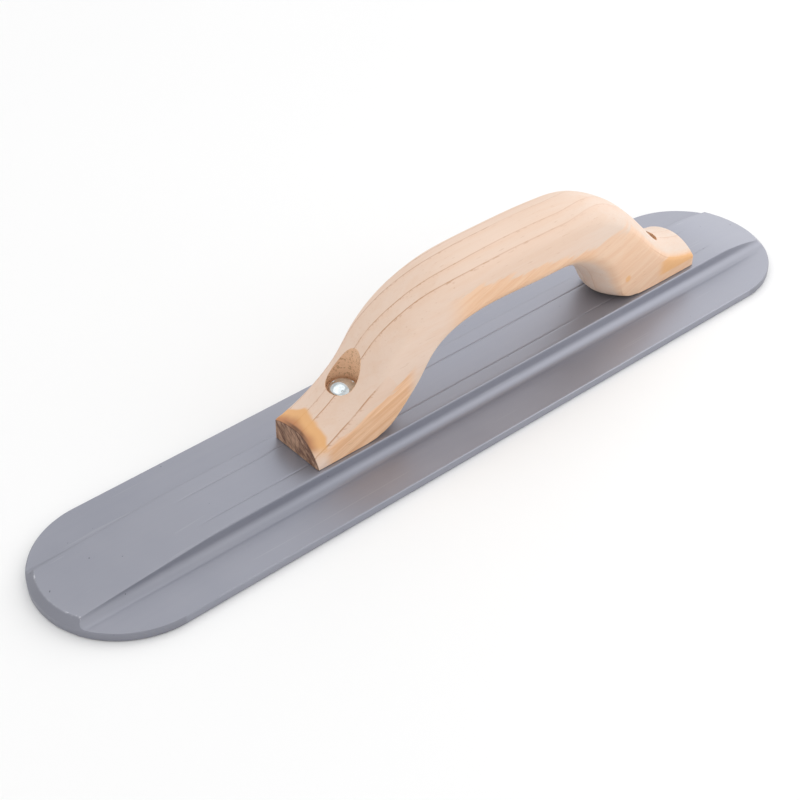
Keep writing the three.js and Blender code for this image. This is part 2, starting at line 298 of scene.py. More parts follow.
def build_blade():
    section = section_points()
    last = len(section) - 1
    edge_radius = section[-1][0]
    body_steps = round(BODY_END / BODY_STEP)
    body = [i * BODY_STEP for i in range(-body_steps, body_steps + 1)]
    body = sorted(body + [x * MM for x in SLOPE_ROWS])
    end_shares = [i / END_ROWS for i in range(1, END_ROWS)] + [LAST_SHARE]
    rows = [("end", -1, s) for s in reversed(end_shares + [1.0])]
    rows += [("body", 0, x) for x in body]
    rows += [("end", 1, s) for s in end_shares + [1.0]]
    columns = list(range(-last, last + 1))
    ends = {}
    for side in (-1, 1):
        for j in range(last + 1):
            if j == last:
                ends[side, j] = ARC_CENTRE_X + CORNER_REACH
            else:
                ends[side, j] = crease_x(j, side, section)

    def grid_point(row, column):
        j, half = signed(column)
        kind, side, value = row
        if kind == "body":
            x = value
        else:
            inner = ends[side, j] - (EDGE_GAP if j < last else 0)
            x = side * lerp(BODY_END, inner, value)
        if j == last:
            beyond = max(0.0, abs(x) - ARC_CENTRE_X)
            return Vector((x, half * math.sqrt(edge_radius ** 2 - beyond ** 2), WING_Z))
        y, z = cut_point(j, x, section)
        return Vector((x, half * y, z))

    vertices, wear_and_highlight, sawn = [], [], []
    top = {}
    for i, row in enumerate(rows):
        for column in columns:
            top[i, column] = len(vertices)
            vertices.append(grid_point(row, column))
            wear_and_highlight.append(0.0)
            sawn.append(0.0)
    faces = []
    for i in range(len(rows) - 1):
        for column in columns[:-1]:
            faces.append([top[i, column], top[i + 1, column],
                          top[i + 1, column + 1], top[i, column + 1]])

    # the perimeter of the top grid, once round
    final = len(rows) - 1
    walk = [(final, c) for c in columns]
    walk += [(i, columns[-1]) for i in range(final - 1, -1, -1)]
    walk += [(0, c) for c in reversed(columns[:-1])]
    walk += [(i, columns[0]) for i in range(1, final)]

    def crease_point(i, column):
        inner = vertices[top[i, column]]
        j, half = signed(column)
        if i in (0, final) and j < last:
            side = 1 if i == final else -1
            x = side * ends[side, j]
            y, z = cut_point(j, x, section)
            return Vector((x, half * y, z))
        direction = rim_direction(inner.x, inner.y)
        radius = END_RADIUS - (inner.z - WING_Z + RIM_BREAK) / BEVEL_SLOPE
        centre_x = clamp(inner.x, -ARC_CENTRE_X, ARC_CENTRE_X)
        return Vector((centre_x, 0, inner.z)) + direction * radius

    creases = [crease_point(i, c) for i, c in walk]
    chance = random.Random(11)
    rings = []
    shares = [("crease", 0.0), ("face", 0.12), ("face", 0.5), ("face", 0.9), ("face", 1.0)]
    low_rings = [(0.0, WING_Z - RIM_BREAK - 0.35 * MM), (0.0, 0.9 * MM), (0.0, RIM_BREAK),
                 (-RIM_BREAK, 0.0), (-1.2 * MM, 0.0)]
    for kind, share in shares:
        ring = []
        for crease in creases:
            direction = rim_direction(crease.x, crease.y)
            centre_x = clamp(crease.x, -ARC_CENTRE_X, ARC_CENTRE_X)
            rim = Vector((centre_x, 0, WING_Z - RIM_BREAK)) + direction * END_RADIUS
            point = crease.lerp(rim, share)
            if kind == "crease" and chance.random() < CHIP_CHANCE and abs(crease.x) > ARC_CENTRE_X:
                point -= direction * CHIP_SIZE * chance.random()
                point.z -= CHIP_SIZE * chance.random()
            ring.append(len(vertices))
            vertices.append(point)
            # the crease near the spine corners is marked bright: partly wear, partly a painted highlight
            corner = crease.z > WING_Z + MM and abs(crease.y) > SPINE_HALF - WORN_AND_HIGHLIGHT_CORNER
            wear_and_highlight.append((1.0 if corner else 0.12) if kind == "crease" else 0.0)
            # the sawn end faces are marked darker: partly their own finish, partly painted shade for the
            # shadowed floor they reflect
            sawn.append(1.0 if kind == "face" and abs(crease.x) > ARC_CENTRE_X else 0.0)
        rings.append(ring)
    for inset, z in low_rings:
        ring = []
        for crease in creases:
            direction = rim_direction(crease.x, crease.y)
            centre_x = clamp(crease.x, -ARC_CENTRE_X, ARC_CENTRE_X)
            ring.append(len(vertices))
            vertices.append(Vector((centre_x, 0, z)) + direction * (END_RADIUS + inset))
            wear_and_highlight.append(0.0)
            # the rim below the sawn ends is marked darker too, partly as painted shade
            sawn.append(1.0 if abs(crease.x) > ARC_CENTRE_X else 0.0)
        rings.append(ring)

    # the flat working face repeats the top grid, drawn in a little so that it stays inside
    bottom = {}
    for i in range(len(rows)):
        for column in columns:
            source = vertices[top[i, column]]
            bottom[i, column] = len(vertices)
            vertices.append(Vector((source.x * SOLE_SHARE_X, source.y * SOLE_SHARE_Y, 0)))
            wear_and_highlight.append(0.0)
            sawn.append(0.0)
    for i in range(len(rows) - 1):
        for column in columns[:-1]:
            faces.append([bottom[i, column], bottom[i, column + 1],
                          bottom[i + 1, column + 1], bottom[i + 1, column]])
    loops = [[top[k] for k in walk]] + rings + [[bottom[k] for k in walk]]
    for upper, lower in zip(loops, loops[1:]):
        for k in range(len(upper)):
            n = (k + 1) % len(upper)
            faces.append([upper[k], lower[k], lower[n], upper[n]])
    blade = mesh_object("blade_body", vertices, faces)
    for name, values in (("wear_and_highlight", wear_and_highlight), ("sawn", sawn)):
        attribute = blade.data.attributes.new(name, "FLOAT", "POINT")
        attribute.data.foreach_set("value", values)
    modifier = blade.modifiers.new("Subdivision", "SUBSURF")
    modifier.levels = modifier.render_levels = 1
    apply_modifiers(blade)
    shade(blade, 50)
    return blade


# ---- handle ----
def clamped_tangent(points, t):
    """The curve's direction at t, taken inside the curve at its ends."""
    step = 1e-4
    a = catmull(points, clamp(t - step))
    b = catmull(points, clamp(t + step))
    return Vector((b[0] - a[0], b[1] - a[1])).normalized()


def handle_section_point(lines, t, k, far):
    """One point of the handle's cross-section, in millimetres: k counts from the centre of
    the top, over the edge and back along the underside."""
    upper = k <= ROUND_STEPS
    angle = ((k if upper else 2 * ROUND_STEPS + 1 - k) / ROUND_STEPS) * math.pi / 2
    y = math.sin(angle)
    line = lines["top"] if upper else lines["under"]
    depth = catmull(lines["top_round"] if upper else lines["under_round"], t)[1]
    centre = Vector(catmull(line, t))
    tangent = clamped_tangent(line, t)
    ends = (HANDLE_SECTIONS[0][0], HANDLE_SECTIONS[-1][0])
    tilt = clamp(min(centre.x - ends[0], ends[1] - centre.x) / END_FADE)
    square = Vector((-tangent.y * tilt, tangent.x)).normalized()
    edge = centre + square * depth * (-1 if upper else 1)
    from_end = clamp((centre.x - ends[0]) / END_ROLL_LENGTH)
    if upper and far > 0:
        edge.y += lerp(END_ROLL_RISE, ROLL_RISE, from_end)
    height = clamp((centre.y - CREASE_Z) / (SOFT_Z - CREASE_Z))
    softness = lerp(CREASE_SOFTNESS, SOFTNESS, height) if upper else SOFTNESS
    drop = softness * (1 - math.cos(angle)) + (1 - softness) * y * y
    x = lerp(centre.x, edge.x, drop)
    z = lerp(centre.y, edge.y, drop)
    return Vector((x, far * HANDLE_HALF * y, max(z, BASE)))


def build_handle():
    lines = {
        "top": [(r[0], r[1]) for r in HANDLE_SECTIONS],
        "under": [(r[2], r[3]) for r in HANDLE_SECTIONS],
        "top_round": [(r[0], r[4]) for r in HANDLE_SECTIONS],
        "under_round": [(r[2], r[5]) for r in HANDLE_SECTIONS],
    }
    stations = (len(HANDLE_SECTIONS) - 1) * STEPS_PER_SECTION
    around = 4 * ROUND_STEPS + 2
    rings = []
    for station in range(stations + 1):
        t = station / stations
        ring = []
        for k in range(around):
            far = k > 2 * ROUND_STEPS
            index = around - k if far else k
            ring.append(handle_section_point(lines, t, index, 1 if far else -1))
        rings.append(ring)

    def eased(ring, inward, x_shift):
        """The ring drawn towards its middle, for the softened edge of a sawn end."""
        middle = sum(ring, Vector()) / len(ring)
        drawn = []
        for p in ring:
            away = Vector((0, p.y - middle.y, p.z - middle.z))
            q = p - away.normalized() * min(inward, 0.9 * away.length)
            q.x += x_shift
            if p.z <= BASE + 1e-6:
                q.z = lerp(BASE, q.z, SOLE_SOFTENING)
            drawn.append(q)
        return drawn

    ease = END_SOFTENING
    # how far each closing ring is drawn in, and how far it is moved along the handle
    closing = [(2.2 * ease, 0), (ease, 0), (0.15, 0.55 * ease)]
    near = [eased(rings[0], inward, shift) for inward, shift in closing]
    far_end = [eased(rings[-1], inward, -shift) for inward, shift in reversed(closing)]
    step_in = Vector((1.2 * ease, 0, 0))
    first, final = [p + step_in for p in rings[0]], [p - step_in for p in rings[-1]]
    rings = near + [first] + rings[1:-1] + [final] + far_end
    vertices, faces = [], []
    for ring in rings:
        vertices += [p * MM for p in ring]
    for i in range(len(rings) - 1):
        for k in range(around):
            n = (k + 1) % around
            a, b = i * around, (i + 1) * around
            faces.append([a + k, b + k, b + n, a + n])
    for base, flip in ((0, False), ((len(rings) - 1) * around, True)):
        middle = sum((Vector(v) for v in vertices[base:base + around]), Vector()) / around
        vertices.append(middle)
        centre = len(vertices) - 1
        for k in range(around):
            n = (k + 1) % around
            faces.append([centre, base + k, base + n] if not flip else [centre, base + n, base + k])
    handle = mesh_object("handle_wood", vertices, faces)
    mesh = bmesh.new()
    mesh.from_mesh(handle.data)
    bmesh.ops.remove_doubles(mesh, verts=mesh.verts, dist=SAME_POINT)
    bmesh.ops.recalc_face_normals(mesh, faces=mesh.faces)
    soft = [v for v in mesh.verts if v.co.z > (BASE + 0.6) * MM
            and SMOOTHED_FROM < v.co.x < SMOOTHED_TO]
    for _ in range(3):
        bmesh.ops.smooth_vert(mesh, verts=soft, factor=0.5,
                              use_axis_x=True, use_axis_y=True, use_axis_z=True)
    mesh.to_mesh(handle.data)
    mesh.free()
    for name, floor in SCREWS.items():
        cut_cylinder(handle, name, floor, COUNTERBORE_RADIUS, ABOVE_HANDLE)
        cut_cylinder(handle, name, BELOW_HANDLE, SHANK_HOLE_RADIUS, floor + 1 * MM)
    drop_slivers(handle)
    shade(handle, 38)
    return handle


def cut_cylinder(obj, node, z0, radius, z1):
    """A vertical round hole through obj on the axis of a screw."""
    low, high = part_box(node)
    x = (low.x + high.x) / 2
    sides = HOLE_SIDES
    circle = [(x + radius * math.cos(2 * math.pi * i / sides),
               radius * math.sin(2 * math.pi * i / sides)) for i in range(sides)]
    vertices = [(a, b, z0) for a, b in circle] + [(a, b, z1) for a, b in circle]
    faces = [[i, (i + 1) % sides, sides + (i + 1) % sides, sides + i] for i in range(sides)]
    faces += [list(reversed(range(sides))), list(range(sides, 2 * sides))]
    subtract(obj, mesh_object("cutter", vertices, faces))


# ---- screws ----
DIMPLES, DIMPLE_RADIUS, DIMPLE_RING, DIMPLE_TURN = 3, 0.6 * MM, 4.6 * MM, math.radians(-131)
THREAD_CORE, THREAD_CREST, THREAD_PITCH = 2.55 * MM, 3.12 * MM, 1.27 * MM
ROWS_PER_TURN = 8
SCREW_SIDES = 64


def thread_rows(tip, seat):
    """Rings of (radius, z) pairs, one for each side, for a helical ridge with plain ends."""
    count = int((seat - tip) / (THREAD_PITCH / ROWS_PER_TURN))
    rows = []
    for i in range(count + 1):
        z = lerp(tip, seat, i / count)
        ring = []
        for k in range(SCREW_SIDES):
            phase = ((z - tip) / THREAD_PITCH - k / SCREW_SIDES) % 1.0
            ridge = 1 - abs(2 * phase - 1)
            fade = clamp((seat - z) / (2.5 * MM)) * clamp((z - tip) / (1.2 * MM))
            plain = THREAD_CORE if z < tip + 2 * MM else THREAD_CREST
            ring.append((lerp(plain, lerp(THREAD_CORE, THREAD_CREST, ridge), fade), z))
        rows.append(ring)
    return rows


def head_rows(radius, seat, rise):
    """Rings of the head: a short upright rim with eased edges, then a slice of a sphere. The
    second value is the dome's height where the dimples are."""
    outline = [(radius - 0.35 * MM, seat), (radius - 0.08 * MM, seat + 0.1 * MM),
               (radius, seat + 0.35 * MM), (radius, seat + HEAD_RIM - 0.25 * MM),
               (radius - 0.04 * MM, seat + HEAD_RIM - 0.05 * MM)]
    sphere = (radius ** 2 + rise ** 2) / (2 * rise)
    centre = seat + HEAD_RIM + rise - sphere
    steps = 14
    for k in range(steps):
        r = (radius - 0.14 * MM) * (1 - k / steps)
        outline.append((r, centre + math.sqrt(sphere ** 2 - r ** 2)))
    dimple_z = centre + math.sqrt(sphere ** 2 - DIMPLE_RING ** 2)
    return [[point] * SCREW_SIDES for point in outline], dimple_z


def build_screw(node, floor):
    """A dome-headed machine screw with a helical thread and three dimples in the dome."""
    low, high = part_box(node)
    x = (low.x + high.x) / 2
    seat = floor + CLEARANCE
    head, dimple_z = head_rows((high.x - low.x) / 2, seat, high.z - seat - HEAD_RIM)
    rings = thread_rows(low.z, seat) + head
    vertices, faces = [], []
    for ring in rings:
        for k, (r, z) in enumerate(ring):
            angle = 2 * math.pi * k / SCREW_SIDES
            vertices.append((x + r * math.cos(angle), r * math.sin(angle), z))
    for i in range(len(rings) - 1):
        for k in range(SCREW_SIDES):
            n = (k + 1) % SCREW_SIDES
            a, b = i * SCREW_SIDES, (i + 1) * SCREW_SIDES
            faces.append([a + k, a + n, b + n, b + k])
    vertices += [(x, 0, low.z), (x, 0, high.z)]
    bottom, crown = len(vertices) - 2, len(vertices) - 1
    last = (len(rings) - 1) * SCREW_SIDES
    for k in range(SCREW_SIDES):
        n = (k + 1) % SCREW_SIDES
        faces.append([bottom, n, k])
        faces.append([crown, last + k, last + n])
    screw = mesh_object(node + "_body", vertices, faces)
    for k in range(DIMPLES):
        angle = DIMPLE_TURN + 2 * math.pi * k / DIMPLES
        centre = (x + DIMPLE_RING * math.cos(angle), DIMPLE_RING * math.sin(angle), dimple_z)
        cut_dimple(screw, centre)
    shade(screw, 32)
    return screw


def cut_dimple(screw, centre):
    """Take a small round hollow out of the head."""
    ball = bmesh.new()
    bmesh.ops.create_icosphere(ball, subdivisions=3, radius=DIMPLE_RADIUS,
                               matrix=Matrix.Translation(centre))
    mesh = bpy.data.meshes.new("dimple")
    ball.to_mesh(mesh)
    ball.free()
    cutter = bpy.data.objects.new("dimple", mesh)
    bpy.context.scene.collection.objects.link(cutter)
    subtract(screw, cutter)


# ---- materials ----
class Nodes:
    """A small helper that makes and links shader nodes."""

    def __init__(self, name):
        self.material = bpy.data.materials.new(name)
        self.material.use_nodes = True
        self.tree = self.material.node_tree
        self.shader = self.tree.nodes["Principled BSDF"]

    def link(self, value, socket):
        if isinstance(value, bpy.types.NodeSocket):
            self.tree.links.new(value, socket)
        else:
            socket.default_value = value

    def coordinates(self):
        return self.tree.nodes.new("ShaderNodeTexCoord").outputs["Object"]

    def mapping(self, vector, scale=(1, 1, 1), rotation=(0, 0, 0)):
        node = self.tree.nodes.new("ShaderNodeMapping")
        self.link(vector, node.inputs["Vector"])
        node.inputs["Scale"].default_value = scale
        node.inputs["Rotation"].default_value = rotation
        return node.outputs["Vector"]

    def turned(self, vector, rotation, scale):
        """Coordinates turned first and stretched afterwards, so that streaks can slant."""
        return self.mapping(self.mapping(vector, rotation=rotation), scale=scale)

    def noise(self, vector, scale, detail=3.0, roughness=0.5, distortion=0.0):
        node = self.tree.nodes.new("ShaderNodeTexNoise")
        self.link(vector, node.inputs["Vector"])
        node.inputs["Scale"].default_value = scale
        node.inputs["Detail"].default_value = detail
        node.inputs["Roughness"].default_value = roughness
        node.inputs["Distortion"].default_value = distortion
        return node.outputs["Fac"]

    def math(self, operation, a, b=0.0):
        node = self.tree.nodes.new("ShaderNodeMath")
        node.operation = operation
        for value, socket in zip((a, b), node.inputs):
            self.link(value, socket)
        return node.outputs[0]

    def ramp(self, value, low, high, out_low=0.0, out_high=1.0):
        node = self.tree.nodes.new("ShaderNodeMapRange")
        node.interpolation_type = "SMOOTHSTEP"
        for index, item in enumerate((value, low, high, out_low, out_high)):
            self.link(item, node.inputs[index])
        return node.outputs[0]

    def mix(self, factor, a, b):
        node = self.tree.nodes.new("ShaderNodeMix")
        node.data_type = "RGBA"
        self.link(factor, node.inputs["Factor"])
        for value, socket in ((a, node.inputs[6]), (b, node.inputs[7])):
            if isinstance(value, tuple):
                value = (*value, 1.0)
            self.link(value, socket)
        return node.outputs[2]

    def split(self, vector):
        node = self.tree.nodes.new("ShaderNodeSeparateXYZ")
        self.link(vector, node.inputs[0])
        return node.outputs[0], node.outputs[1], node.outputs[2]

    def attribute(self, name):
        node = self.tree.nodes.new("ShaderNodeAttribute")
        node.attribute_name = name
        return node.outputs["Fac"]

    def normal(self):
        return self.tree.nodes.new("ShaderNodeNewGeometry").outputs["Normal"]

    def bump(self, height, strength, distance):
        node = self.tree.nodes.new("ShaderNodeBump")
        node.inputs["Strength"].default_value = strength
        node.inputs["Distance"].default_value = distance
        self.link(height, node.inputs["Height"])
        self.link(node.outputs["Normal"], self.shader.inputs["Normal"])


def magnesium_material():
    """Mill-finish magnesium: a satin grey skin with faint lines and a few thin scratches
    along the extrusion. The sawn round ends are darker, partly from their own finish and partly as painted
    shade for the shadowed floor they reflect, and the spine's corners are painted bright, partly as wear and
    partly as a painted highlight."""
    n = Nodes("magnesium")
    at = n.coordinates()
    drawn = n.noise(n.mapping(at, scale=(14, 1400, 900)), 1.0, 4.0, 0.6)
    streak = n.noise(n.mapping(at, scale=(5, 300, 220)), 1.0, 3.0, 0.55)
    cloud = n.noise(at, 18.0, 4.0, 0.55)
    grit = n.noise(at, 1500.0, 2.0, 0.6)
    pit = n.ramp(n.noise(at, 520.0, 1.0, 0.4), 0.80, 0.82)
    scratch = n.ramp(n.noise(n.mapping(at, scale=(16, 700, 700)), 1.0, 1.0, 0.5), 0.735, 0.75)
    base = n.mix(n.ramp(cloud, 0.35, 0.68), (0.312, 0.321, 0.374), (0.336, 0.343, 0.394))
    base = n.mix(n.ramp(streak, 0.30, 0.75, 0.0, 0.10), base, (0.38, 0.38, 0.415))
    base = n.mix(n.math("MULTIPLY", scratch, 0.22), base, (0.46, 0.46, 0.50))
    # sawn ends darker: partly their own finish, partly painted shade standing in for the shadowed floor they
    # reflect
    base = n.mix(n.math("MULTIPLY", n.attribute("sawn"), 0.7), base, (0.255, 0.260, 0.300))
    # bright chips on the end's crease, strongest at the spine corners: partly worn metal, partly a painted
    # highlight
    chips = n.ramp(n.noise(at, 420.0, 3.0, 0.6), 0.46, 0.62)
    worn_and_highlight = n.math("MULTIPLY", n.attribute("wear_and_highlight"), chips)
    base = n.mix(worn_and_highlight, base, (0.74, 0.74, 0.79))
    base = n.mix(n.math("MULTIPLY", pit, 0.7), base, (0.12, 0.12, 0.135))
    n.link(base, n.shader.inputs["Base Color"])
    n.shader.inputs["Metallic"].default_value = 0.65
    rough = n.ramp(cloud, 0.3, 0.7, 0.40, 0.46)
    rough = n.math("SUBTRACT", rough, n.math("MULTIPLY", worn_and_highlight, 0.12))
    n.link(rough, n.shader.inputs["Roughness"])
    height = n.math("ADD", n.math("MULTIPLY", drawn, 0.4), n.math("MULTIPLY", grit, 0.25))
    height = n.math("SUBTRACT", height, n.math("MULTIPLY", pit, 1.2))
    n.bump(height, 0.20, 0.00008)
    return n.material


RING_WIDTH = 7.6 * MM
KNOT_X, KNOT_Z = 104 * MM, 24 * MM
KNOT_CORE, KNOT_RADIUS = 0.8 * MM, 2.6 * MM
PATCH_FULL, PATCH_END, SCORCH_END = 6.2 * MM, 8.2 * MM, 4.5 * MM  # from the near sawn end
TOE_START, TOE_TOP = 124 * MM, 23.6 * MM
SIDE_STARTS, SIDE_FULL = -12.2 * MM, -13.8 * MM  # where the top rolls over to the near side
TAN_X, TAN_Z, TAN_SLANT = -72 * MM, 17.6 * MM, 0.42  # the tan wood's sloping upper border
TAN_ROTATION = (0, 0.35, 0)  # its streaks follow the foot's slope
BOW_LINE_Z, BOW_LINE_SLOPE = 63 * MM, 0.14  # light orange wood lies below this line on the bow
RING_UNEVENNESS = 1.2 * MM  # every other ring is narrower by about twice this


def ring_number(n, at, x, y, z):
    """Which growth ring a point lies in. The rings stand nearly upright and run along the
    handle, and drift sideways along the bow, so a side face cuts them at a low angle."""
    drift = n.math("ADD", n.ramp(x, -60 * MM, 8 * MM, 3.6 * MM, -3.0 * MM),
                   n.ramp(x, 58 * MM, 106 * MM, 0.0, 5.8 * MM))
    wander = n.noise(n.mapping(at, scale=(10, 24, 24)), 1.0, 2.0, 0.5)
    wobble = n.noise(n.mapping(at, scale=(30, 120, 120)), 1.0, 3.0, 0.55)
    across = n.math("SUBTRACT", y, drift)
    across = n.math("ADD", across, n.math("MULTIPLY", z, 0.035))
    across = n.math("ADD", across, n.math("MULTIPLY", n.math("SUBTRACT", wander, 0.5), 0.0042))
    across = n.math("ADD", across, n.math("MULTIPLY", n.math("SUBTRACT", wobble, 0.5), 0.0004))
    across = n.math("SUBTRACT", across, RING_UNEVENNESS)
    alternate = n.math("COSINE", n.math("MULTIPLY", across, math.pi / RING_WIDTH))
    across = n.math("ADD", across, n.math("MULTIPLY", alternate, RING_UNEVENNESS))
    return n.math("DIVIDE", across, RING_WIDTH)


def late_wood(n, rings, sharp):
    """A thin dark line at the end of each ring, which stops sharply."""
    part = n.math("FRACT", rings)
    rising = n.ramp(part, 1 - sharp, 0.970)
    return n.math("MULTIPLY", rising, n.ramp(part, 1.0, 0.988))


def resin_stain(n, at, x, y, z):
    """Orange resin wood: a patch at the near end's top edge, a strip along the far toe and
    a small knot on the side of the heel. The second value is the scorch at the saw cut."""
    ragged = n.noise(n.mapping(at, scale=(35, 70, 70)), 1.0, 2.0, 0.5)
    ragged = n.math("MULTIPLY", n.math("SUBTRACT", ragged, 0.5), 0.009)
    from_near = n.math("ADD", n.math("SUBTRACT", x, HANDLE_LOW.x), ragged)
    near_patch = n.math("MULTIPLY", n.ramp(from_near, PATCH_END, PATCH_FULL), n.ramp(z, 15.5 * MM, 20.5 * MM))
    scorch = n.math("MULTIPLY", near_patch, n.ramp(from_near, SCORCH_END, 0.0))
    side = n.ramp(y, SIDE_STARTS, SIDE_FULL)
    toe = n.ramp(n.math("ADD", x, ragged), TOE_START, TOE_START + 7 * MM)
    toe = n.math("MULTIPLY", toe, n.ramp(z, TOE_TOP, TOE_TOP - 1.2 * MM))
    toe = n.math("MULTIPLY", toe, n.ramp(z, 14.8 * MM, 16.2 * MM, 0.15, 0.85))
    toe = n.math("MULTIPLY", toe, side)
    knot_x = n.math("SUBTRACT", x, KNOT_X)
    knot_z = n.math("SUBTRACT", z, KNOT_Z)
    away = n.math("ADD", n.math("MULTIPLY", knot_x, knot_x), n.math("MULTIPLY", knot_z, knot_z))
    knot = n.math("MULTIPLY", n.ramp(n.math("SQRT", away), KNOT_RADIUS, KNOT_CORE), side)
    stain = n.math("MAXIMUM", n.math("MAXIMUM", near_patch, toe), n.math("MULTIPLY", knot, 0.8))
    return stain, scorch


def flat_sawn(n, at, x, y, z):
    """Where the near side face cuts the rings flat: tan low on the near foot, and light
    orange along the bow's lower edge and on the far shoulder."""
    ragged = n.noise(n.turned(at, TAN_ROTATION, (45, 60, 260)), 1.0, 3.0, 0.6)
    lifted = n.math("ADD", z, n.math("MULTIPLY", n.math("SUBTRACT", ragged, 0.5), 0.016))
    slant = n.math("MULTIPLY", n.math("SUBTRACT", x, TAN_X), TAN_SLANT)
    foot = n.ramp(n.math("SUBTRACT", lifted, slant), TAN_Z + 2.2 * MM, TAN_Z)
    along = n.math("MULTIPLY", n.ramp(x, -24 * MM, -32 * MM), n.ramp(x, -76.5 * MM, -70 * MM))
    foot = n.math("MULTIPLY", foot, along)
    bow_line = n.math("SUBTRACT", BOW_LINE_Z, n.math("MULTIPLY", x, BOW_LINE_SLOPE))
    bow = n.ramp(n.math("SUBTRACT", lifted, bow_line), 1.4 * MM, -1.2 * MM)
    along = n.math("MULTIPLY", n.ramp(x, -12 * MM, 6 * MM), n.ramp(x, 98 * MM, 75 * MM))
    bow = n.math("MULTIPLY", bow, along)
    shoulder = n.math("MULTIPLY", n.ramp(x, 62 * MM, 74 * MM), n.ramp(lifted, 54.5 * MM, 50.5 * MM))
    side = n.ramp(y, -10.5 * MM, -13.6 * MM)
    light = n.math("MAXIMUM", n.math("MULTIPLY", bow, 0.85), n.math("MULTIPLY", shoulder, 0.65))
    return n.math("MULTIPLY", foot, side), n.math("MULTIPLY", light, side)


def end_grain(n, at, rings):
    """The sawn end faces: brown, torn and streaked across, with closer dark rings."""
    torn = n.noise(n.turned(at, (-0.75, 0, 0), (300, 170, 620)), 1.0, 5.0, 0.66)
    color = n.mix(n.ramp(torn, 0.34, 0.66), (0.150, 0.068, 0.038), (0.520, 0.315, 0.205))
    part = n.math("FRACT", n.math("MULTIPLY", rings, 2.0))
    return n.mix(n.ramp(part, 0.55, 0.95, 0.0, 0.30), color, (0.12, 0.060, 0.040)), torn


